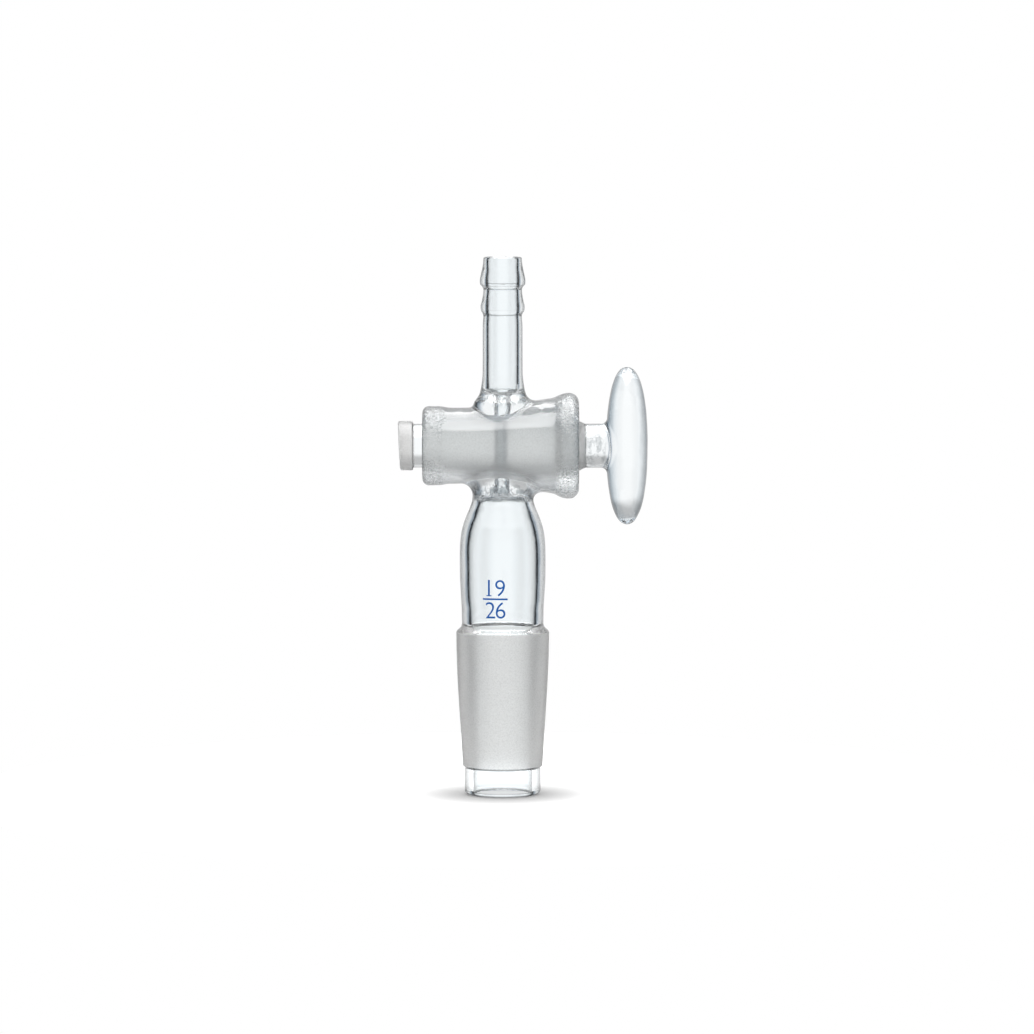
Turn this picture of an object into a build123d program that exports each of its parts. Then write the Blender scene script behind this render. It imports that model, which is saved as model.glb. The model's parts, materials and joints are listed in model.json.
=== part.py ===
from build123d import *

# Glass stopcock: a fused glass body and a ground-in glass plug.
#
# The body is one piece of blown and fused borosilicate glass.  From the bottom up it is
# a drip rim, a standard taper ground cone, a blown tube that draws in to a waist, a
# horizontal barrel with a tapered ground bore, and a hose tube with two rolled barbs.
# The plug is one solid piece of glass: an end button, a groove, a ground taper with a
# cross bore, a neck and a lens-shaped handle.  With the handle in line with the tubes,
# the cross bore lines up with the two ports in the barrel's wall, which is open.
#
# Millimetres.  +Z runs up the tubes, and +X runs along the barrel from the plug's small
# end to its handle.  The origin is the centre of the drip rim's end, on the plane that
# the stopcock stands on.

import os

# Drip rim
RIM_HEIGHT = 5.8
RIM_STEP = 0.35  # how far the rim stands in from the cone's narrow end
RIM_BORE_D = 11.9
RIM_OUTER_ROUND = 0.9
RIM_INNER_ROUND = 0.5

# Ground cone, standard taper size 19/26
CONE_WIDE_D = 18.8
CONE_TAPER = 0.1  # loss of diameter for each unit of length
CONE_LENGTH = 27.2

# Blown tube between the cone and the barrel
TUBE_WALL = 1.75
TUBE_FOOT_D = 16.6
TUBE_FOOT_RISE = 1.3  # height of the sloped shoulder above the cone
TUBE_PLAIN_LENGTH = 3.6  # straight stretch above that shoulder
BULGE_D = 17.4
BULGE_RISE = 14.0  # the cone's top to the tube's widest ring
WAIST_D = 12.3
WAIST_RISE = 26.7  # the cone's top to the waist
DRAW_SHARE = 0.56  # part of the draw from waist to bulge that is left at the draw's middle
DRAW_DROP = 3.4  # that middle's level, under the waist
DOME_RISE = 1.3  # the waist to the top of the tube's rounded inside
DOME_ROUND = 1.2

# Plug's ground taper and the barrel's seat for it
PLUG_D = 11.7  # at the tubes' axis
PLUG_TAPER = 0.1  # gain of diameter for each unit of length
SEAT_CLEARANCE = 0.03  # radial, between the plug and the barrel's bore
CROSS_BORE_D = 2.5

# Barrel, its lengths measured from the tubes' axis
BARREL_WALL = 2.66  # at the tubes' axis
BARREL_SLOPE = 0.107  # gain of outer radius for each unit of length
BARREL_SMALL_LENGTH = 16.2
BARREL_WIDE_LENGTH = 15.4
SMALL_BEAD_LENGTH = 7.0
SMALL_BEAD_FLAT = 3.4
SMALL_BEAD_HEIGHT = 0.45
WIDE_BEAD_LENGTH = 5.8
WIDE_BEAD_FLAT = 2.4
WIDE_BEAD_HEIGHT = 1.13
SMALL_END_ROUND = 1.2
WIDE_END_ROUND = 2.0
MOUTH_ROUND = 0.4

# Fused joins of the two tubes and the barrel
WAIST_TO_BARREL = 2.5  # the waist to the barrel's lowest line, at the tubes' axis
LOWER_FUSE_ROUND = 1.7
UPPER_FUSE_ROUND = 0.8

# Hose tube
HOSE_D = 8.05
HOSE_BORE_D = 6.0
HOSE_LENGTH = 29.6  # above the barrel's top line
HOSE_FLOOR_RISE = 1.7  # the barrel's top line to the floor of the hose tube's bore
HOSE_FLOOR_ROUND = 1.2
FLARE_RISE = 6.0  # where the tube starts to flare, above the barrel's top line
FLARE_KNEE_D = 9.5
FLARE_KNEE_RISE = 1.8
COLLAR_D = 11.7  # the flare's edge, level with the barrel's top line
TIP_D = 7.7
TIP_ROUND_SHARE = 0.45  # both edges' rounds, as a part of the tip's wall
BARB_ROOT_D = 7.8
BARB_CRESTS = ((9.25, 5.3), (8.9, 10.4))  # each crest's diameter, and its drop from the tip
BARB_RETURN = 1.4  # height of the step back in under a crest
BARB_TAIL = 2.0  # height of the run from the last step out to the plain tube

# Plug outside its ground taper
BUTTON_LENGTH = 3.1
BUTTON_SLACK = 0.1  # radial, so that the button passes through the barrel's narrow end
BUTTON_ROUND = 0.35
GROOVE_LENGTH = 2.2
GROOVE_DEPTH = 0.55
GROOVE_INSET = 0.3  # how far the groove reaches into the barrel
GROUND_INSET = 3.4  # from the ground taper's wide end to the barrel's wide end
GROUND_ROUND = 0.5
SHOULDER_LENGTH = 4.8
NECK_D = 8.9
NECK_LENGTH = 4.1  # the shoulder to the handle's near face

# Handle: an oval lens with its long axis across the plug
HANDLE_LENGTH = 31.8
HANDLE_THICKNESS = 8.4  # along the plug's axis
HANDLE_WIDTH = 12.5
HANDLE_TIP_FLAT = 1.0  # ground flat on each tip, across the plug's axis
HANDLE_FULLNESS = 0.74  # part of both half sizes that the outline's corner reaches
HANDLE_FUSE_ROUND = 0.6

# Radii
port_r = CROSS_BORE_D / 2
cone_wide_r = CONE_WIDE_D / 2
cone_narrow_r = cone_wide_r - CONE_TAPER * CONE_LENGTH / 2
rim_r = cone_narrow_r - RIM_STEP
rim_bore_r = RIM_BORE_D / 2
foot_r = TUBE_FOOT_D / 2
bulge_r = BULGE_D / 2
waist_r = WAIST_D / 2
draw_r = waist_r + DRAW_SHARE * (bulge_r - waist_r)
barrel_mid_r = PLUG_D / 2 + SEAT_CLEARANCE + BARREL_WALL
hose_r = HOSE_D / 2
hose_bore_r = HOSE_BORE_D / 2
barb_root_r = BARB_ROOT_D / 2
hose_tip_r = TIP_D / 2
tip_round = TIP_ROUND_SHARE * (hose_tip_r - hose_bore_r)

# Levels along Z
cone_top = RIM_HEIGHT + CONE_LENGTH
tube_foot = cone_top + TUBE_FOOT_RISE
plain_top = tube_foot + TUBE_PLAIN_LENGTH
bulge_level = cone_top + BULGE_RISE
waist_level = cone_top + WAIST_RISE
draw_level = waist_level - DRAW_DROP
dome_level = waist_level + DOME_RISE
axis_level = waist_level + WAIST_TO_BARREL + barrel_mid_r
barrel_top = axis_level + barrel_mid_r
hose_floor = barrel_top + HOSE_FLOOR_RISE
hose_top = barrel_top + HOSE_LENGTH

# Places along X
barrel_left = -BARREL_SMALL_LENGTH
barrel_right = BARREL_WIDE_LENGTH
groove_right = barrel_left + GROOVE_INSET
groove_left = groove_right - GROOVE_LENGTH
button_left = groove_left - BUTTON_LENGTH
ground_right = barrel_right - GROUND_INSET
neck_left = ground_right + SHOULDER_LENGTH
handle_x = neck_left + NECK_LENGTH + HANDLE_THICKNESS / 2

# Across the barrel: x along the plug's axis, y the distance from it
barrel_frame = Plane(origin=(0, 0, axis_level), x_dir=(1, 0, 0), z_dir=(0, -1, 0))
barrel_axis = Axis((0, 0, axis_level), (1, 0, 0))

UP, DOWN, ALONG = (0, 1), (0, -1), (1, 0)  # tangents in a profile's own plane
NEAR = 0.001  # how close counts as the same place, for picking edges and corners


def barrel_r(x):
    """Outer radius of the barrel's plain taper."""
    return barrel_mid_r + BARREL_SLOPE * x


def plug_r(x):
    """Radius of the plug's ground taper."""
    return (PLUG_D + PLUG_TAPER * x) / 2


def seat_r(x):
    """Radius of the barrel's ground bore."""
    return plug_r(x) + SEAT_CLEARANCE


def beside_axis(edge):
    """True for an edge that runs round the tubes' axis, such as a tube's join with the barrel."""
    return abs(edge.bounding_box().center().X) < waist_r / 2


# ------------------------------------------------------------------ stopcock body

with BuildPart() as stopcock_body:
    # Rim, cone and blown tube, solid for now, turned about the tubes' axis
    with BuildSketch(Plane.XZ):
        with BuildLine():
            Polyline(
                (0, axis_level),
                (0, 0),
                (rim_r, 0),
                (rim_r, RIM_HEIGHT),
                (cone_narrow_r, RIM_HEIGHT),
                (cone_wide_r, cone_top),
                (foot_r, tube_foot),
                (foot_r, plain_top),
            )
            Spline(
                (foot_r, plain_top),
                (bulge_r, bulge_level),
                (draw_r, draw_level),
                (waist_r, waist_level),
                tangents=(UP, UP),
            )
            Polyline((waist_r, waist_level), (waist_r, axis_level), (0, axis_level))
        make_face()
        corners = vertices().filter_by(lambda v: v.X > 1).sort_by(Axis.Y)
        fillet(corners[0], RIM_OUTER_ROUND)
    revolve(axis=Axis.Z)

    # Barrel, solid for now, turned about the plug's axis
    small_bead_in = barrel_left + SMALL_BEAD_LENGTH
    small_bead_r = barrel_r(small_bead_in) + SMALL_BEAD_HEIGHT
    wide_bead_in = barrel_right - WIDE_BEAD_LENGTH
    wide_bead_r = barrel_r(wide_bead_in) + WIDE_BEAD_HEIGHT
    with BuildSketch(barrel_frame):
        with BuildLine():
            Polyline(
                (barrel_left, 0),
                (barrel_left, small_bead_r),
                (barrel_left + SMALL_BEAD_FLAT, small_bead_r),
            )
            Spline(
                (barrel_left + SMALL_BEAD_FLAT, small_bead_r),
                (small_bead_in, barrel_r(small_bead_in)),
                tangents=(ALONG, (1, BARREL_SLOPE)),
            )
            Line(
                (small_bead_in, barrel_r(small_bead_in)),
                (wide_bead_in, barrel_r(wide_bead_in)),
            )
            Spline(
                (wide_bead_in, barrel_r(wide_bead_in)),
                (barrel_right - WIDE_BEAD_FLAT, wide_bead_r),
                tangents=((1, BARREL_SLOPE), ALONG),
            )
            Polyline(
                (barrel_right - WIDE_BEAD_FLAT, wide_bead_r),
                (barrel_right, wide_bead_r),
                (barrel_right, 0),
                (barrel_left, 0),
            )
        make_face()
        rims = vertices().filter_by(lambda v: v.Y > 1).sort_by(Axis.X)
        fillet(rims[0], SMALL_END_ROUND)
        fillet(rims[-1], WIDE_END_ROUND)
    revolve(axis=barrel_axis)
    fillet(edges(Select.NEW).filter_by(beside_axis), LOWER_FUSE_ROUND)

    # Hose tube, solid for now, turned about the tubes' axis
    with BuildSketch(Plane.XZ):
        with BuildLine():
            Line((0, hose_top), (hose_tip_r, hose_top))
            start = (hose_tip_r, hose_top)
            for crest_d, drop in BARB_CRESTS:
                crest = (crest_d / 2, hose_top - drop)
                root = (barb_root_r, hose_top - drop - BARB_RETURN)
                Spline(start, crest, tangents=(DOWN, DOWN))
                Spline(crest, root, tangents=(DOWN, DOWN))
                start = root
            tail = (hose_r, root[1] - BARB_TAIL)
            Spline(root, tail, tangents=(DOWN, DOWN))
            Line(tail, (hose_r, barrel_top + FLARE_RISE))
            Spline(
                (hose_r, barrel_top + FLARE_RISE),
                (FLARE_KNEE_D / 2, barrel_top + FLARE_KNEE_RISE),
                (COLLAR_D / 2, barrel_top),
                tangents=(DOWN, DOWN),
            )
            Polyline(
                (COLLAR_D / 2, barrel_top),
                (COLLAR_D / 2, axis_level),
                (0, axis_level),
                (0, hose_top),
            )
        make_face()
        tip_corner = vertices().filter_by(lambda v: v.X > 1).sort_by(Axis.Y)[-1]
        fillet(tip_corner, tip_round)
    revolve(axis=Axis.Z)
    fillet(edges(Select.NEW).filter_by(beside_axis), UPPER_FUSE_ROUND)

    # Inside of the cone and the blown tube, with a rounded top and the lower port
    with BuildSketch(Plane.XZ):
        with BuildLine():
            Polyline(
                (0, 0),
                (rim_bore_r, 0),
                (rim_bore_r, RIM_HEIGHT),
                (foot_r - TUBE_WALL, tube_foot),
                (foot_r - TUBE_WALL, plain_top),
            )
            Spline(
                (foot_r - TUBE_WALL, plain_top),
                (bulge_r - TUBE_WALL, bulge_level),
                (draw_r - TUBE_WALL, draw_level),
                (waist_r - TUBE_WALL, waist_level),
                tangents=(UP, UP),
            )
            Polyline(
                (waist_r - TUBE_WALL, waist_level),
                (waist_r - TUBE_WALL, dome_level),
                (port_r, dome_level),
                (port_r, axis_level),
                (0, axis_level),
                (0, 0),
            )
        make_face()
        dome_corner = vertices().filter_by(lambda v: v.X > port_r + 0.1).sort_by(Axis.Y)[-1]
        fillet(dome_corner, DOME_ROUND)
    revolve(axis=Axis.Z, mode=Mode.SUBTRACT)

    # Inside of the hose tube, with the upper port
    with BuildSketch(Plane.XZ):
        with BuildLine():
            Polyline(
                (0, hose_top),
                (hose_bore_r, hose_top),
                (hose_bore_r, hose_floor),
                (port_r, hose_floor),
                (port_r, axis_level),
                (0, axis_level),
                (0, hose_top),
            )
        make_face()
        floor_corner = vertices().filter_by(lambda v: v.X > port_r + 0.1).sort_by(Axis.Y)[0]
        fillet(floor_corner, HOSE_FLOOR_ROUND)
    revolve(axis=Axis.Z, mode=Mode.SUBTRACT)

    # Ground seat for the plug
    with BuildSketch(barrel_frame):
        with BuildLine():
            Polyline(
                (barrel_left, 0),
                (barrel_left, seat_r(barrel_left)),
                (barrel_right, seat_r(barrel_right)),
                (barrel_right, 0),
                (barrel_left, 0),
            )
        make_face()
    revolve(axis=barrel_axis, mode=Mode.SUBTRACT)

    # Fire-polished mouths
    circles = edges().filter_by(GeomType.CIRCLE)
    for end, size in (
        (Vector(barrel_left, 0, axis_level), MOUTH_ROUND),
        (Vector(barrel_right, 0, axis_level), MOUTH_ROUND),
        (Vector(0, 0, hose_top), tip_round),
        (Vector(0, 0, 0), RIM_INNER_ROUND),
    ):
        mouth = circles.filter_by(lambda e: (e.arc_center - end).length < NEAR)
        fillet(mouth.sort_by(SortBy.RADIUS)[0], size)

# ------------------------------------------------------------------ stopcock plug

with BuildPart() as handle:
    # Turned about its long axis, then widened to an oval
    half_t = HANDLE_THICKNESS / 2
    half_l = HANDLE_LENGTH / 2
    tip_r = HANDLE_TIP_FLAT / 2
    with BuildSketch(Plane.XZ):
        with BuildLine():
            top = Line((0, half_l), (tip_r, half_l))
            Spline(
                top @ 1,
                (HANDLE_FULLNESS * half_t, HANDLE_FULLNESS * half_l),
                (half_t, 0),
                tangents=(ALONG, DOWN),
            )
            Line((0, 0), top @ 0)
            Line((0, 0), (half_t, 0))
        make_face()
        mirror(about=Plane.XZ)
    revolve(axis=Axis.Z)
    scale(by=(1, HANDLE_WIDTH / HANDLE_THICKNESS, 1))

with BuildPart() as stopcock_plug:
    # Button, groove, ground taper, shoulder and neck, turned about the plug's axis
    button_r = seat_r(barrel_left) - BUTTON_SLACK
    groove_r = button_r - GROOVE_DEPTH
    neck_r = NECK_D / 2
    with BuildSketch(barrel_frame):
        with BuildLine():
            Polyline(
                (button_left, 0),
                (button_left, button_r),
                (groove_left, button_r),
                (groove_left, groove_r),
                (groove_right, groove_r),
                (groove_right, plug_r(groove_right)),
                (ground_right, plug_r(ground_right)),
                (neck_left, neck_r),
                (handle_x, neck_r),
                (handle_x, 0),
                (button_left, 0),
            )
        make_face()
        fillet(vertices().filter_by(lambda v: abs(v.Y - button_r) < NEAR), BUTTON_ROUND)
        shoulder_corners = vertices().filter_by(lambda v: v.Y > 1 and ground_right - NEAR < v.X)
        fillet(shoulder_corners.sort_by(Axis.X)[:2], GROUND_ROUND)
    revolve(axis=barrel_axis)

    # Cross bore, in line with the tubes
    with BuildSketch(Plane.XY.offset(axis_level)):
        Circle(port_r)
    extrude(amount=PLUG_D, both=True, mode=Mode.SUBTRACT)

    with Locations((handle_x, 0, axis_level)):
        add(handle.part)
    fillet(edges(Select.NEW), HANDLE_FUSE_ROUND)

os.makedirs("parts", exist_ok=True)
for name, piece in (("stopcock_body", stopcock_body), ("stopcock_plug", stopcock_plug)):
    piece.part.label = name
    export_step(piece.part, f"parts/{name}.step")
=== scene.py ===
import json
import math

import bmesh
import bpy
import numpy as np
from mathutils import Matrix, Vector


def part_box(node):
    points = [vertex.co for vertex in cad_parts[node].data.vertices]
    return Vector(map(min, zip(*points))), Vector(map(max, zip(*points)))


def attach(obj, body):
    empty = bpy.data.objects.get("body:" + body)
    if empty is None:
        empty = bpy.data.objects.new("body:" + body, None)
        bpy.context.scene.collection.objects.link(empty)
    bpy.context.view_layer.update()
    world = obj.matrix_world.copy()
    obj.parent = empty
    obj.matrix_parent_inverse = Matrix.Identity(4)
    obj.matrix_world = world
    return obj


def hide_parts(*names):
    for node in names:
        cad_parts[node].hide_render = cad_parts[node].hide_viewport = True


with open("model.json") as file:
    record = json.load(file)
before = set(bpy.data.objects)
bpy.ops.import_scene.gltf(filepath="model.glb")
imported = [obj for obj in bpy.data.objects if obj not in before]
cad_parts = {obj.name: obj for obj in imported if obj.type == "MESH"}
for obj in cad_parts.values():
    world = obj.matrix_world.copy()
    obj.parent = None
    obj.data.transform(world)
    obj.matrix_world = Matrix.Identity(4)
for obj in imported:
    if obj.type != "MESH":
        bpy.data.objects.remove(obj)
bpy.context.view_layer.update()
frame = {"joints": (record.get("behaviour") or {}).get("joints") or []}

# A borosilicate glass stopcock.  The two CAD solids are replaced by finer glass meshes of
# the same sizes, each found as the zero surface of a distance field, so that the fused
# joins, rolled barbs and fire-polished rims flow into each other as worked glass does.
# Lengths are in millimetres until a mesh is written, which is in metres.

MM = 0.001


def box_mm(node):
    low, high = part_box(node)
    return np.array(low) / MM, np.array(high) / MM


body_low, body_high = box_mm("stopcock_body")
plug_low, plug_high = box_mm("stopcock_plug")

# Places taken from the frame
AXIS_Z = frame["joints"][0]["pos_m"][2] / MM  # level of the plug's axis
HOSE_TOP = body_high[2]
BARREL_LEFT, BARREL_RIGHT = body_low[0], body_high[0]
BUTTON_LEFT, HANDLE_RIGHT = plug_low[0], plug_high[0]
HANDLE_HALF = (plug_high[2] - plug_low[2]) / 2
HANDLE_HALF_DEPTH = 12.5 / 2
HANDLE_HALF_THICK = 8.4 / 2
HANDLE_X = HANDLE_RIGHT - HANDLE_HALF_THICK
HANDLE_POWER = 2.3  # 2 is an ellipse, and more is blunter

# Sizes that the frame doesn't hold
SEAT_MID_R = 5.88  # the seat's radius on the tubes' axis
PLUG_MID_R = 5.85
TAPER = 0.05  # gain of radius along the plug, for each unit of length
PORT_R = 1.25
GROUND_FROM, GROUND_TO = BARREL_LEFT + 0.3, BARREL_RIGHT - 3.4  # the plug's ground taper
BUTTON_R, GROOVE_R, NECK_R = 4.97, 4.42, 4.45
GROOVE_LEFT = GROUND_FROM - 2.2
CONE_LOW, CONE_HIGH = 5.8, 33.0  # levels of the ground cone's two ends
CAVITY_TOP, BORE_FLOOR = 61.0, 80.98  # levels of the blown hollow's top and the hose bore's floor
RIM_ROUND, LIP_ROUND = 0.9, 0.38  # rounds of the drip rim's foot and of the thin lips
WAVE, WAVE_LENGTH, WAVE_SEED = 0.035, 7.0, 3  # unevenness of the blown tube's wall
WAVE_LEVEL, WAVE_REACH = 48, 11


# ------------------------------------------------------------------ distance fields


def profile(*points):
    """Radius as a function of place, smooth between the points and never past them."""
    at, radius = np.array(points, float).T
    step = np.diff(at)
    slope = np.diff(radius) / step
    inner = np.zeros(len(at))
    same = slope[:-1] * slope[1:] > 0
    weight_a, weight_b = 2 * step[1:] + step[:-1], step[1:] + 2 * step[:-1]
    with np.errstate(divide="ignore", invalid="ignore"):
        mean = (weight_a + weight_b) / (weight_a / slope[:-1] + weight_b / slope[1:])
    inner[1:-1] = np.where(same, mean, 0.0)
    inner[0], inner[-1] = slope[0], slope[-1]

    def radius_at(x):
        x = np.clip(x, at[0], at[-1])
        i = np.clip(np.searchsorted(at, x) - 1, 0, len(step) - 1)
        t = (x - at[i]) / step[i]
        rise = 3 * t**2 - 2 * t**3
        lean = (t**3 - 2 * t**2 + t) * inner[i] + (t**3 - t**2) * inner[i + 1]
        return (1 - rise) * radius[i] + rise * radius[i + 1] + step[i] * lean

    return radius_at


def lathe(distance, place, radius_at):
    """Field of a turned shape: the distance from its axis, less its radius, corrected for slope."""
    nudge = 0.05
    slope = (radius_at(place + nudge) - radius_at(place - nudge)) / (2 * nudge)
    return (distance - radius_at(place)) / np.sqrt(1 + slope**2)


def join(a, b, radius):
    """Union of two fields with a fillet of this radius between them."""
    both = np.hypot(np.maximum(radius - a, 0), np.maximum(radius - b, 0))
    return np.maximum(radius, np.minimum(a, b)) - both


def keep(a, b, radius):
    """What two fields share, with a round of this radius on the edge between them."""
    return -join(-a, -b, radius)


def ripple(x, y, z, length, seed):
    """Smooth random waves of about this length, from -1 to 1."""
    rng = np.random.default_rng(seed)
    total = 0
    for _ in range(6):
        direction = rng.normal(size=3)
        direction *= 2 * np.pi / length / np.linalg.norm(direction) * rng.uniform(0.7, 1.4)
        phase = rng.uniform(0, 6.3)
        total = total + np.sin(direction[0] * x + direction[1] * y + direction[2] * z + phase)
    return total / 6


def bell(x, centre, width):
    """1 at the centre, falling away smoothly to both sides."""
    return np.exp(-(((x - centre) / width) ** 2))


def blown_wave(x, y, z):
    """How far the blown tube's wall lies inside its profile."""
    waves = ripple(x, y, z, WAVE_LENGTH, WAVE_SEED)
    return WAVE * waves * bell(z, WAVE_LEVEL, WAVE_REACH)


def link(name, mesh):
    """A new object of this mesh, in the scene."""
    piece = bpy.data.objects.new(name, mesh)
    bpy.context.scene.collection.objects.link(piece)
    return piece


# ------------------------------------------------------------------ meshing


def spaced(low, high, coarse, *fine):
    """Grid lines from low to high exactly: a coarse spacing, and (from, to, spacing) if finer."""
    lines = [low]
    while lines[-1] < high:
        here = lines[-1]
        step = coarse
        for start, end, small in fine:
            gap = max(start - here, here - end, 0)
            step = min(step, small + 0.25 * gap)
        lines.append(here + step)
    return low + (np.array(lines) - low) * (high - low) / (lines[-1] - low)


def surface_net(field, xs, ys, zs):
    """Points and quads of the surface field = 0 on a grid, one point to a cell it crosses."""
    value = field(*np.meshgrid(xs, ys, zs, indexing="ij"))
    value[value == 0] = 1e-9
    inside = value < 0
    cells = np.array(value.shape) - 1
    total = np.zeros((*cells, 3))
    count = np.zeros(cells, np.int16)
    crossings = []
    for axis in range(3):
        first = [slice(None)] * 3
        second = [slice(None)] * 3
        first[axis], second[axis] = slice(None, -1), slice(1, None)
        first, second = tuple(first), tuple(second)
        i, j, k = np.nonzero(inside[first] != inside[second])
        crossings.append((axis, i, j, k))
        a, b = value[first][i, j, k], value[second][i, j, k]
        share = a / (a - b)
        point = np.stack((xs[i], ys[j], zs[k]), 1).astype(float)
        lines = (xs, ys, zs)[axis]
        low = (i, j, k)[axis]
        point[:, axis] = lines[low] + share * (lines[low + 1] - lines[low])
        others = [n for n in range(3) if n != axis]
        for da in (0, -1):
            for db in (0, -1):
                cell = [i, j, k]
                cell[others[0]] = cell[others[0]] + da
                cell[others[1]] = cell[others[1]] + db
                np.add.at(total, tuple(cell), point)
                np.add.at(count, tuple(cell), 1)
    used = count > 0
    number = np.full(cells, -1)
    number[used] = np.arange(used.sum())
    points = total[used] / count[used][:, None]
    quads = []
    for axis, i, j, k in crossings:
        others = [(axis + 1) % 3, (axis + 2) % 3]
        corners = []
        for da, db in ((0, 0), (1, 0), (1, 1), (0, 1)):
            cell = [i, j, k]
            cell[others[0]] = cell[others[0]] - 1 + da
            cell[others[1]] = cell[others[1]] - 1 + db
            corners.append(number[tuple(cell)])
        quad = np.stack(corners, 1)
        flip = ~inside[i, j, k]
        quad[flip] = quad[flip][:, ::-1]
        quads.append(quad)
    return points, np.concatenate(quads)


def gradient(field, points):
    """The field's slope at each point, along X, Y and Z."""
    step = 0.004
    slopes = []
    for axis in range(3):
        shift = np.zeros(3)
        shift[axis] = step
        ahead, behind = points + shift, points - shift
        slopes.append((field(*ahead.T) - field(*behind.T)) / (2 * step))
    return np.stack(slopes, 1)


def settle(field, points, rounds=3):
    """Moves points on to the surface by Newton steps."""
    for _ in range(rounds):
        slope = gradient(field, points)
        size = np.maximum((slope**2).sum(1), 0.05)
        step = -(field(*points.T) / size)[:, None] * slope
        length = np.linalg.norm(step, axis=1, keepdims=True)
        points = points + step * np.minimum(1, 0.3 / np.maximum(length, 1e-9))
    return points


def relax(points, quads, field, rounds=3):
    """Evens out the quads: points go half-way to their neighbours' middle, along the surface."""
    edges = np.concatenate([quads[:, [n, (n + 1) % 4]] for n in range(4)])
    for _ in range(rounds):
        total = np.zeros_like(points)
        for axis in range(3):
            total[:, axis] = np.bincount(edges[:, 0], points[edges[:, 1], axis], len(points))
            total[:, axis] += np.bincount(edges[:, 1], points[edges[:, 0], axis], len(points))
        count = np.bincount(edges.ravel(), minlength=len(points))[:, None]
        slope = gradient(field, points)
        normal = slope / np.linalg.norm(slope, axis=1, keepdims=True)
        step = (total / count - points) * 0.5
        step -= (step * normal).sum(1, keepdims=True) * normal
        points = settle(field, points + step, 1)
    return settle(field, points, 2)


def glass_mesh(name, field, xs, ys, zs):
    """An object whose surface is field = 0, shaded by the field's own slope."""
    points, quads = surface_net(field, xs, ys, zs)
    points = settle(field, points)
    points = relax(points, quads, field)
    slope = gradient(field, points)
    normals = slope / np.linalg.norm(slope, axis=1, keepdims=True)
    mesh = bpy.data.meshes.new(name)
    mesh.from_pydata((points * MM).tolist(), [], quads.tolist())
    mesh.validate()
    mesh.polygons.foreach_set("use_smooth", np.ones(len(mesh.polygons), bool))
    mesh.normals_split_custom_set_from_vertices(normals.tolist())
    return link(name, mesh)


# ------------------------------------------------------------------ the two pieces

# (level, radius) up the tubes' axis
OUTSIDE_LOW = profile(
    (-3, 7.69), (5.5, 7.69), (5.85, 8.04), (6.2, 8.06), (32.75, 9.385), (33.1, 9.34), (34.15, 8.42),
    (34.7, 8.28), (37.5, 8.3), (41.1, 8.5), (44.3, 8.66), (47.5, 8.7), (50.0, 8.67), (51.6, 8.57),
    (53.2, 8.37), (54.8, 7.98), (56.5, 7.37), (58.1, 6.68), (59.7, 6.2), (60.8, 6.08), (66, 6.1),
)
INSIDE_LOW = profile(
    (-3, 5.95), (4.0, 5.95), (8.0, 6.05), (33.0, 6.5), (37.0, 6.62), (40.0, 6.85), (47.5, 6.97),
    (50.5, 6.9), (53.2, 6.55), (55.0, 6.1), (57.0, 5.35), (58.6, 4.85), (60.2, 4.6), (66, 4.6),
)
OUTSIDE_HOSE = profile(
    (68, 5.9), (78.9, 5.9), (79.5, 5.8), (80.3, 5.3), (81.1, 4.75), (82.3, 4.42), (83.6, 4.22),
    (85.4, 4.05), (95.0, 4.02), (96.9, 3.9), (97.4, 4.02), (98.1, 4.4), (98.9, 4.45), (99.9, 4.24),
    (101.4, 3.96), (102.3, 3.9), (102.8, 4.1), (103.4, 4.58), (104.0, 4.62), (105.3, 4.4),
    (107.4, 3.98), (109.5, 3.83),
)
INSIDE_HOSE = profile(
    (76, 2.95), (84, 2.98), (95, 2.98), (97.2, 2.9), (98.6, 3.06), (100.4, 2.98), (102.6, 2.9),
    (103.9, 3.1), (106, 3.0), (110, 3.02),
)
# (place along X, radius) along the plug's axis
BARREL = profile(
    (-20, 7.98), (-13.2, 8.0), (-12.2, 7.9), (-10.8, 7.7), (-8.0, 7.68), (9.0, 9.5), (10.4, 9.75),
    (11.3, 10.18), (12.2, 10.52), (13.2, 10.69), (17, 10.69),
)
SHOULDER = profile(
    (11.0, 6.4), (12.0, 6.42), (12.5, 6.28), (15.3, 5.12), (16.3, 4.6), (16.9, 4.45), (30, 4.45),
)


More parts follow.
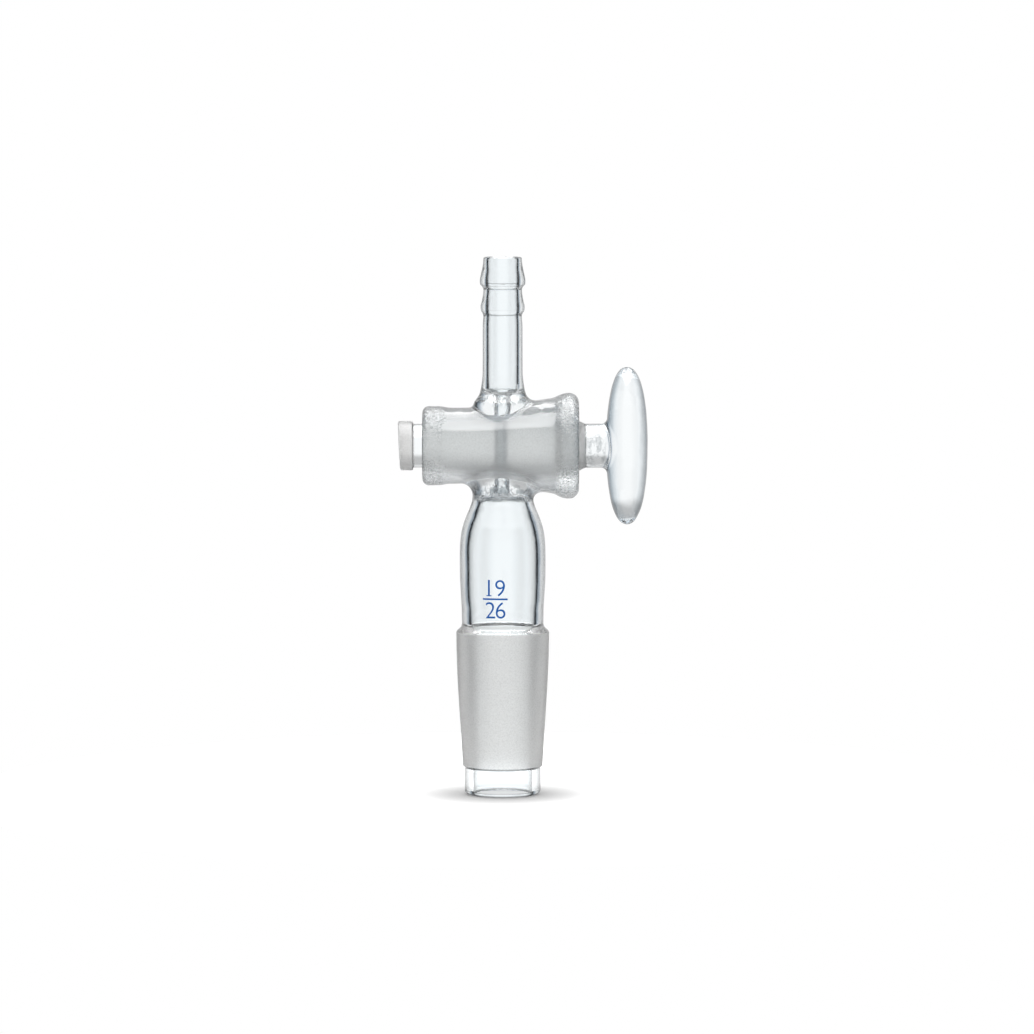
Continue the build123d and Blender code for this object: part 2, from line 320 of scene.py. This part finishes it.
def body_field(x, y, z):
    """The body: both tubes and the barrel fused, less the hollows, the ports and the plug's seat."""
    from_tubes = np.hypot(x, y)
    from_plug = np.hypot(y, z - AXIS_Z)
    worked = ripple(x, y, z, WAVE_LENGTH, WAVE_SEED)
    fine = ripple(x, y, z, 2.6, 5)
    low = lathe(from_tubes, z, OUTSIDE_LOW) + blown_wave(x, y, z)
    low = keep(low, -z, RIM_ROUND)
    low = keep(low, z - AXIS_Z, 0.5)
    barrel = lathe(from_plug, x, BARREL) + 0.03 * worked
    barrel = keep(barrel, BARREL_LEFT - x, 1.3)
    barrel = keep(barrel, x - BARREL_RIGHT, 2.0)
    hose = lathe(from_tubes, z, OUTSIDE_HOSE)
    hose = hose + 0.03 * worked * bell(z, 82, 5) + 0.02 * fine * bell(z, 100, 6)
    hose = keep(hose, z - HOSE_TOP, LIP_ROUND)
    hose = keep(hose, AXIS_Z - z, 0.5)
    outside = join(low, barrel, 2.3) + 0.05 * fine * bell(z, 61.5, 2.6)
    outside = join(outside, hose, 0.9) + 0.05 * fine * bell(z, 79.5, 2.2)

    hollow = lathe(from_tubes, z, INSIDE_LOW) + 0.03 * worked * bell(z, 50, 8)
    hollow = keep(hollow, z - CAVITY_TOP, 1.7) + 0.06 * fine * bell(z, 60, 2.5)
    bore = lathe(from_tubes, z, INSIDE_HOSE)
    bore = keep(bore, BORE_FLOOR - z, 1.3) + 0.06 * fine * bell(z, 81, 2)
    port = from_tubes - PORT_R
    low_port = keep(keep(port, 58 - z, 0.2), z - AXIS_Z, 0.2)
    top_port = keep(keep(port, AXIS_Z - z, 0.2), z - 84, 0.2)
    seat = (from_plug - SEAT_MID_R - TAPER * x) / math.hypot(1, TAPER)
    empty = np.minimum(join(hollow, low_port, 0.7), join(bore, top_port, 0.7))
    empty = join(empty, seat, 0.12)
    return keep(outside, -empty, LIP_ROUND)


def plug_field(x, y, z):
    """The plug: button, groove, ground taper, shoulder, neck and handle, less the cross bore."""
    up = z - AXIS_Z
    from_plug = np.hypot(y, up)
    fine = ripple(x, y, z, 3.0, 11)
    slant = x + 0.05 * up  # the end was cut a little off square
    button = keep(keep(from_plug - BUTTON_R, BUTTON_LEFT + 0.3 - slant, 0.4), x - GROOVE_LEFT, 0.3)
    core = keep(keep(from_plug - GROOVE_R, BUTTON_LEFT + 1 - x, 0.3), x, 0.3)
    taper = (from_plug - PLUG_MID_R - TAPER * x) / math.hypot(1, TAPER)
    taper = keep(taper, GROUND_FROM - x, 0.15)
    shank = np.where(x > 11.6, lathe(from_plug, x, SHOULDER), taper)
    ground = keep(keep(taper, x - GROUND_TO - 0.2, 0.35), shank, 0.2)
    neck = keep(lathe(from_plug, x, SHOULDER) + 0.02 * fine, 11.2 - x, 0.1)
    neck = keep(neck, x - HANDLE_X, 0.3)
    turned = join(join(button, core, 0.2), ground, 0.15)
    turned = np.minimum(turned, neck)
    n = HANDLE_POWER
    oval = np.hypot((x - HANDLE_X) / HANDLE_HALF_THICK, y / HANDLE_HALF_DEPTH)
    handle = (oval**n + np.abs(up / HANDLE_HALF) ** n + 1e-12) ** (1 / n) - 1
    handle = handle * HANDLE_HALF_THICK + 0.03 * fine
    whole = join(turned, handle, 1.1)
    cross = keep(np.hypot(x, y) - PORT_R, np.abs(up) - 9, 0.1)
    return keep(whole, -cross, 0.1)


# The last grid line below the hose tube's lip lies close under it, or the net pinches there.
coarse = 1.0
BODY_CELL, PLUG_CELL = 0.46 * coarse, 0.34 * coarse
LIP_GAP = 0.18
up_to_lip = spaced(
    -0.6, HOSE_TOP - LIP_GAP, BODY_CELL, (0, 0.9, 0.2), (5.5, 6.1, 0.15), (32.8, 34.5, 0.2),
    (59, 62, 0.3), (78.5, 82, 0.3), (96.5, 104.5, 0.3), (108.3, 108.7, 0.2),
)
body = glass_mesh(
    "glass_body",
    body_field,
    spaced(
        BARREL_LEFT - 0.8, BARREL_RIGHT + 0.8, BODY_CELL, (-16.3, -15.2, 0.25), (13.6, 15.5, 0.25)
    ),
    spaced(-11.4, 11.4, BODY_CELL),
    np.append(up_to_lip, (HOSE_TOP + 0.06, HOSE_TOP + 0.5)),
)
plug = glass_mesh(
    "glass_plug",
    plug_field,
    spaced(BUTTON_LEFT - 0.8, HANDLE_RIGHT + 0.8, PLUG_CELL, (-21.3, -15.8, 0.16), (11, 13, 0.2)),
    spaced(-7.4, 7.4, PLUG_CELL, (-1.3, 1.3, 0.22)),
    spaced(AXIS_Z - HANDLE_HALF - 0.8, AXIS_Z + HANDLE_HALF + 0.8, PLUG_CELL),
)


# ------------------------------------------------------------------ materials


class Nodes:
    """A short way to write a node tree."""

    def __init__(self, tree):
        self.tree = tree
        tree.nodes.clear()

    def add(self, kind, settings=(), **inputs):
        """A node. Its inputs go by name, with _ for a space, or by number, such as _0."""
        node = self.tree.nodes.new(kind)
        for key, value in dict(settings).items():
            setattr(node, key, value)
        for key, value in inputs.items():
            socket = node.inputs[int(key[1:]) if key[0] == "_" else key.replace("_", " ")]
            if isinstance(value, bpy.types.NodeSocket):
                self.tree.links.new(value, socket)
            else:
                socket.default_value = value
        return node

    def math(self, operation, *values):
        node = self.add("ShaderNodeMath", {"operation": operation})
        for socket, value in zip(node.inputs, values):
            if isinstance(value, bpy.types.NodeSocket):
                self.tree.links.new(value, socket)
            else:
                socket.default_value = value
        return node.outputs[0]

    def ramp(self, value, low, high, to_low=0.0, to_high=1.0):
        """Smooth step of value from low to high."""
        node = self.add(
            "ShaderNodeMapRange",
            {"interpolation_type": "SMOOTHSTEP"},
            Value=value, From_Min=low, From_Max=high, To_Min=to_low, To_Max=to_high,
        )
        return node.outputs[0]

    def between(self, value, low, high, soft):
        """1 from low to high and 0 outside, with soft edges."""
        rising = self.ramp(value, low - soft, low + soft)
        return self.math("MULTIPLY", rising, self.ramp(value, high - soft, high + soft, 1.0, 0.0))

    def most(self, first, *others):
        for other in others:
            first = self.math("MAXIMUM", first, other)
        return first

    def length(self, a, b):
        squares = self.math("MULTIPLY_ADD", a, a, self.math("MULTIPLY", b, b))
        return self.math("SQRT", squares)

    def blend(self, share, colour_a, colour_b):
        mix = self.add("ShaderNodeMix", {"data_type": "RGBA"}, _0=share, _6=colour_a, _7=colour_b)
        return mix.outputs[2]

    def noise(self, vector, scale, detail=2.0, roughness=0.5):
        node = self.add("ShaderNodeTexNoise", Vector=vector, Scale=scale, Detail=detail, Roughness=roughness)
        return node.outputs["Fac"]


def new_material(name):
    """A material with an empty node tree, and the writer of that tree."""
    material = bpy.data.materials.new(name)
    material.use_nodes = True
    return material, Nodes(material.node_tree)


# Colours of the glass where it faces the eye, and three painted shades: near-black at its edges, grey
# strokes in worked joints, and blue-grey in solid glass, which stand in for dark surroundings seen through
# the glass
CLEAR = (0.95, 0.975, 0.985, 1.0)
EDGE_SHADE = (0.004, 0.007, 0.01, 1.0)
STROKE_SHADE = (0.3, 0.34, 0.36, 1.0)
DEEP_SHADE = (0.42, 0.52, 0.6, 1.0)


def glass_material(name, zones, frost_light, frost_dark):
    """Clear borosilicate glass.

    zones gives five numbers from 0 to 1: ground, ground on the outside, flame-worked, hazy, and
    the share of painted blue-grey shade that solid glass takes towards its edges.
    """
    material, n = new_material(name)
    place = n.add("ShaderNodeTexCoord").outputs["Object"]
    to_mm = n.add("ShaderNodeVectorMath", {"operation": "SCALE"}, Vector=place, Scale=1 / MM)
    scaled = to_mm.outputs[0]
    x, y, z = n.add("ShaderNodeSeparateXYZ", Vector=scaled).outputs
    ground, outer, worked, hazy, deep_shade = zones(n, x, y, z, scaled)

    mottle = n.noise(scaled, 0.9, 3.0)
    rough = n.math("MULTIPLY", ground, n.math("MULTIPLY_ADD", mottle, 0.12, 0.42))
    rough = n.most(rough, n.math("MULTIPLY", hazy, 0.3))
    grain = n.math("MULTIPLY", n.math("MULTIPLY", ground, n.noise(scaled, 9.0, 4.0, 0.7)), 0.03)
    swirl = n.math("MULTIPLY_ADD", n.noise(scaled, 0.35, 2.0), 0.02, grain)
    uneven = n.most(worked, n.math("MULTIPLY", hazy, 0.5))
    dimples = n.math("MULTIPLY", uneven, n.noise(scaled, 1.1, 2.0, 0.55))
    height = n.math("MULTIPLY_ADD", dimples, 0.22, swirl)
    bump = n.add("ShaderNodeBump", Strength=1.0, Distance=MM, Height=height).outputs[0]

    facing = n.add("ShaderNodeLayerWeight").outputs["Facing"]
    # painted shade: where the surface turns edge-on the base colour goes near-black, standing in for the
    # dark surroundings that glass edges refract
    edge_shade_share = n.ramp(facing, 0.3, 0.9)
    across = n.add("ShaderNodeMapping", Vector=scaled, Scale=(0.45, 0.45, 3.2)).outputs[0]
    scratches = n.math("MULTIPLY", n.ramp(n.noise(across, 1.0, 3.0, 0.6), 0.64, 0.7), 0.7)
    grains = n.most(n.ramp(n.noise(scaled, 4.0, 3.0, 0.7), 0.35, 0.7), scratches)
    frost = n.blend(grains, frost_light, frost_dark)
    # painted shade: grey streaks in the flame-worked zones stand in for the dark surroundings that the
    # uneven worked glass refracts
    drawn = n.add("ShaderNodeMapping", Vector=scaled, Scale=(1.0, 1.0, 0.55)).outputs[0]
    stroke_shade = n.math("MULTIPLY", worked, n.ramp(n.noise(drawn, 1.1, 2.0), 0.5, 0.6))
    # painted shade: solid glass takes a blue-grey tone towards its edges, standing in for the surroundings
    # seen through it
    deep_shade_tone = n.blend(n.math("MULTIPLY", deep_shade, n.ramp(facing, 0.02, 0.6)), CLEAR, DEEP_SHADE)
    # clear is the glass's own colour with the painted shades at its edges, in worked joints and in solid
    # glass mixed in
    clear = n.blend(stroke_shade, n.blend(edge_shade_share, deep_shade_tone, EDGE_SHADE), STROKE_SHADE)
    tint = n.blend(ground, clear, frost)
    shader = n.add(
        "ShaderNodeBsdfPrincipled",
        Base_Color=tint,
        Roughness=rough,
        IOR=1.47,
        Transmission_Weight=n.math("MULTIPLY_ADD", outer, -0.2, 1.0),
        Normal=bump,
    )
    n.add("ShaderNodeOutputMaterial", Surface=shader.outputs[0])
    return material


def body_zones(n, x, y, z, scaled):
    """The cone outside and the plug's seat inside are ground, and the barrel's ends are hazy."""
    outer = n.ramp(n.length(x, y), 7.2, 7.5)
    cone = n.math("MULTIPLY", n.between(z, CONE_LOW + 0.1, CONE_HIGH + 0.1, 0.08), outer)
    from_plug = n.length(n.math("SUBTRACT", z, AXIS_Z), y)
    seat_gap = n.math("SUBTRACT", from_plug, n.math("MULTIPLY_ADD", x, TAPER, SEAT_MID_R))
    touching = n.ramp(seat_gap, 0.05, 0.1, 1.0, 0.0)
    seat = n.math("MULTIPLY", touching, n.between(x, -40, GROUND_TO + 0.3, 0.2))
    joins = n.most(n.between(z, 60.4, 63.0, 1.3), n.between(z, 79.4, 81.2, 1.1))
    bead = n.ramp(x, 10.4, 11.8)
    left_end = n.ramp(x, -12.6, -11.4, 1.0, 0.0)
    specks = n.ramp(n.noise(scaled, 1.6, 3.0, 0.6), 0.4, 0.62)
    hazy = n.math("MULTIPLY", n.most(bead, left_end), specks)
    return n.most(cone, seat), cone, joins, hazy, 0.0


def plug_zones(n, x, y, z, scaled):
    """The taper, shoulder and button are ground, the neck is worked, and the handle is solid."""
    from_plug = n.length(n.math("SUBTRACT", z, AXIS_Z), y)
    taper_gap = n.math("SUBTRACT", n.math("MULTIPLY_ADD", x, TAPER, PLUG_MID_R), from_plug)
    touching = n.ramp(taper_gap, 0.04, 0.09, 1.0, 0.0)
    taper = n.math("MULTIPLY", touching, n.between(x, GROUND_FROM - 0.3, GROUND_TO + 0.3, 0.1))
    shoulder = n.between(x, GROUND_TO - 0.3, GROUND_TO + 4.6, 0.3)
    button = n.between(x, -60, GROOVE_LEFT + 0.05, 0.08)
    neck = n.math("MULTIPLY", n.between(x, 16.0, 20.8, 0.6), 0.55)
    specks = n.ramp(n.noise(scaled, 1.6, 3.0, 0.6), 0.42, 0.64)
    outer = n.most(shoulder, button)
    # painted shade: the handle's solid glass gets a blue-grey tone, strongest at its left side, standing in
    # for the surroundings seen through it
    handle = n.ramp(x, HANDLE_X - 3.9, HANDLE_X + 1.5, 1.0, 0.55)
    deep_shade = n.math("MULTIPLY", handle, n.ramp(x, 20.4, 21.2))
    return n.most(taper, outer), outer, neck, n.math("MULTIPLY", neck, specks), deep_shade


body_glass = glass_material("body glass", body_zones, (0.98, 0.98, 0.97, 1), (0.75, 0.75, 0.74, 1))
plug_glass = glass_material("plug glass", plug_zones, (0.97, 0.97, 0.965, 1), (0.79, 0.79, 0.78, 1))
body.data.materials.append(body_glass)
plug.data.materials.append(plug_glass)
for piece, node, carried_by, finish in (
    (body, "stopcock_body", "body", "body_glass"),
    (plug, "stopcock_plug", "plug", "plug_glass"),
):
    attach(piece, carried_by)
    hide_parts(node)


# ------------------------------------------------------------------ printed joint size


def enamel_material():
    """Blue enamel, slightly flecked."""
    material, n = new_material("blue enamel")
    place = n.add("ShaderNodeTexCoord").outputs["Object"]
    fleck = n.noise(place, 2500.0, 3.0, 0.6)
    blue = n.blend(fleck, (0.0, 0.07, 0.33, 1), (0.0, 0.13, 0.46, 1))
    bump = n.add("ShaderNodeBump", Strength=0.4, Distance=0.00002, Height=fleck).outputs[0]
    shader = n.add(
        "ShaderNodeBsdfPrincipled", Base_Color=blue, Roughness=0.5, Specular_IOR_Level=0.2, Normal=bump
    )
    n.add("ShaderNodeOutputMaterial", Surface=shader.outputs[0])
    return material


def tube_front(x, z):
    """Distance from the tubes' axis to the blown tube's front at this place."""
    profile_r = OUTSIDE_LOW(np.array([z]))[0]
    return float(profile_r - blown_wave(x, -profile_r, z))


def print_on_tube(name, outline, centre_x, centre_z):
    """Lays a flat mesh, drawn in X and Y in millimetres, on the front of the blown tube."""
    grid = bmesh.new()
    grid.from_mesh(outline)
    for axis, reach in ((0, 4.0), (1, 8.0)):
        normal = [0.0, 0.0, 0.0]
        normal[axis] = 1.0
        for cut in np.arange(-reach, reach, 0.3):
            everything = grid.verts[:] + grid.edges[:] + grid.faces[:]
            at = [cut * part for part in normal]
            bmesh.ops.bisect_plane(grid, geom=everything, plane_co=at, plane_no=normal)
    bmesh.ops.solidify(grid, geom=grid.faces[:], thickness=0.02)
    heights = [v.co.z for v in grid.verts]
    middle = (min(heights) + max(heights)) / 2
    for v in grid.verts:
        x, z = v.co.x + centre_x, v.co.y + centre_z
        radius = tube_front(x, z) + (0.025 if v.co.z > middle else -0.01)
        angle = x / radius
        v.co = Vector((radius * math.sin(angle), -radius * math.cos(angle), z)) * MM
    bmesh.ops.recalc_face_normals(grid, faces=grid.faces[:])
    mesh = bpy.data.meshes.new(name)
    grid.to_mesh(mesh)
    grid.free()
    return link(name, mesh)


def flat_figure(text, height, centre_x):
    """The outline of a figure as a flat mesh, centred here, this high in millimetres."""
    curve = bpy.data.curves.new("figure", "FONT")
    curve.body = text
    curve.size = height * 1.4
    curve.offset = -0.04
    curve.resolution_u = 6
    holder = bpy.data.objects.new("figure", curve)
    bpy.context.scene.collection.objects.link(holder)
    bpy.context.view_layer.update()
    mesh = bpy.data.meshes.new_from_object(holder.evaluated_get(bpy.context.evaluated_depsgraph_get()))
    bpy.data.objects.remove(holder)
    places = np.array([v.co for v in mesh.vertices])
    low, high = places.min(0), places.max(0)
    stretch = height / (high[1] - low[1])
    for v, place in zip(mesh.vertices, (places - (low + high) / 2) * stretch):
        v.co = Vector((place[0] + centre_x, place[1], 0))
    return mesh


def flat_bar(centre_x, centre_y, width, height):
    """A flat oblong with its middle here."""
    mesh = bpy.data.meshes.new("bar")
    w, h = width / 2, height / 2
    corners = [(-w, -h), (w, -h), (w, h), (-w, h)]
    mesh.from_pydata([(centre_x + a, centre_y + b, 0) for a, b in corners], [], [(0, 1, 2, 3)])
    return mesh


PRINT_X = -1.55
FIGURE = 3.3  # height of the figures
UPPER, BAR, LOWER = 42.6, 40.35, 38.1  # levels of the printed fraction
enamel = enamel_material()
for name, outline, level in (
    ("print_upper_one", flat_figure("1", FIGURE, -1.25), UPPER),
    ("print_upper_one_foot", flat_bar(-1.25, 0.1 - FIGURE / 2, 1.1, 0.2), UPPER),
    ("print_upper_nine", flat_figure("9", FIGURE, 1.05), UPPER),
    ("print_bar", flat_bar(0, 0, 5.15, 0.34), BAR),
    ("print_lower_two", flat_figure("2", FIGURE, -0.95), LOWER),
    ("print_lower_six", flat_figure("6", FIGURE, 1.15), LOWER),
):
    mark = print_on_tube(name, outline, PRINT_X, level)
    mark.data.materials.append(enamel)
    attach(mark, "body")


# ------------------------------------------------------------------ floor, light and camera


def floor_material():
    """A white floor that keeps the object's shadow.

    Eyes and mirrors see it glow away from the object, to meet the white world, and inside the
    hollow rim, where glass keeps the light from it.
    """
    material, n = new_material("pale floor")
    place = n.add("ShaderNodeTexCoord").outputs["Object"]
    x, y, z = n.add("ShaderNodeSeparateXYZ", Vector=place).outputs
    from_axis = n.length(x, y)
    under_glass = n.ramp(from_axis, 6.2 * MM, 7.6 * MM, 0.75, 0.0)
    far = n.most(under_glass, n.ramp(from_axis, 9 * MM, 22 * MM, 0.0, 0.4))
    rays = n.add("ShaderNodeLightPath").outputs
    seen = n.most(rays["Is Camera Ray"], rays["Is Glossy Ray"])
    strength = n.math("MULTIPLY", seen, far)
    glow = n.add("ShaderNodeEmission", Color=(1, 1, 1, 1), Strength=strength).outputs[0]
    diffuse = n.add("ShaderNodeBsdfDiffuse", Color=(0.96, 0.96, 0.96, 1.0)).outputs[0]
    both = n.add("ShaderNodeAddShader", _0=diffuse, _1=glow).outputs[0]
    n.add("ShaderNodeOutputMaterial", Surface=both)
    return material


FLOOR_R = 0.11  # metres, small enough for the world to show through the tubes' walls
floor_mesh = bpy.data.meshes.new("floor")
turns = np.linspace(0, 2 * math.pi, 64, endpoint=False)
rim = [(FLOOR_R * math.cos(t), FLOOR_R * math.sin(t), 0) for t in turns]
floor_mesh.from_pydata(rim, [], [tuple(range(len(rim)))])
floor_mesh.materials.append(floor_material())
floor = link("floor", floor_mesh)
floor.location.z = -0.00002


def light_tent():
    """A white tent with dark gaps at its corners and a bright top, as glass is lit for photographs.

    Only rays that have met the glass see the gaps and the bright top, and the rest see white.
    """
    world = bpy.data.worlds.new("light tent")
    world.use_nodes = True
    n = Nodes(world.node_tree)
    way = n.add("ShaderNodeTexCoord").outputs["Generated"]
    x, y, z = n.add("ShaderNodeSeparateXYZ", Vector=way).outputs
    flat = n.math("MAXIMUM", n.length(x, y), 1e-4)
    side = n.math("DEGREES", n.math("ARCCOSINE", n.math("DIVIDE", n.math("ABSOLUTE", y), flat)))
    rise = n.math("DEGREES", n.math("ARCSINE", z))
    below_top = n.ramp(rise, 38.0, 48.0, 1.0, 0.0)
    shade = n.math("MULTIPLY", n.between(side, 37.0, 82.0, 13.0), 0.72)
    gap = n.between(side, 47.0, 81.0, 4.0)
    dark = n.math("MULTIPLY", n.most(shade, gap), below_top)
    tent = n.math("SUBTRACT", 1.0, dark)
    dim_band = n.math("MULTIPLY", n.between(rise, 14.0, 46.0, 6.0), 0.5)
    through = n.math("MULTIPLY", tent, n.math("SUBTRACT", 1.0, dim_band))
    mirrored = n.math("MULTIPLY_ADD", n.between(rise, 50.0, 200.0, 4.0), 7.0, tent)
    rays = n.add("ShaderNodeLightPath").outputs
    passed = rays["Is Transmission Ray"]
    bounced = n.math("MULTIPLY", rays["Is Glossy Ray"], n.math("SUBTRACT", 1.0, passed))
    shown = n.math("MULTIPLY_ADD", bounced, n.math("SUBTRACT", mirrored, 1.0), 1.0)
    shown = n.math("MULTIPLY_ADD", passed, n.math("SUBTRACT", through, 1.0), shown)
    cool_share = n.math("MULTIPLY", passed, shade)
    cool = n.blend(cool_share, (1.0, 1.0, 1.0, 1.0), (0.6, 0.8, 1.0, 1.0))
    background = n.add("ShaderNodeBackground", Color=cool, Strength=shown).outputs[0]
    n.add("ShaderNodeOutputWorld", Surface=background)
    bpy.context.scene.world = world


light_tent()

CAMERA_AWAY, CAMERA_UP = 1200.0, 148.0
AIM_X, AIM_Z = 2.9, 56.3
VIEW_HEIGHT = 209.0  # seen at the object's distance
SENSOR = 36.0

camera_data = bpy.data.cameras.new("camera")
camera = link("camera", camera_data)
camera.location = Vector((AIM_X, -CAMERA_AWAY, CAMERA_UP)) * MM
aim = Vector((AIM_X, 0, AIM_Z)) * MM
camera.rotation_euler = (aim - camera.location).to_track_quat("-Z", "Y").to_euler()
camera_data.sensor_width = SENSOR
camera_data.lens = SENSOR * (aim - camera.location).length / (VIEW_HEIGHT * MM)
camera_data.clip_start, camera_data.clip_end = 0.05, 50.0
scene = bpy.context.scene
scene.camera = camera
scene.view_settings.view_transform = "Standard"
scene.cycles.max_bounces = 40
scene.cycles.transmission_bounces = 40
scene.cycles.glossy_bounces = 16
scene.cycles.caustics_refractive = False
scene.cycles.caustics_reflective = False
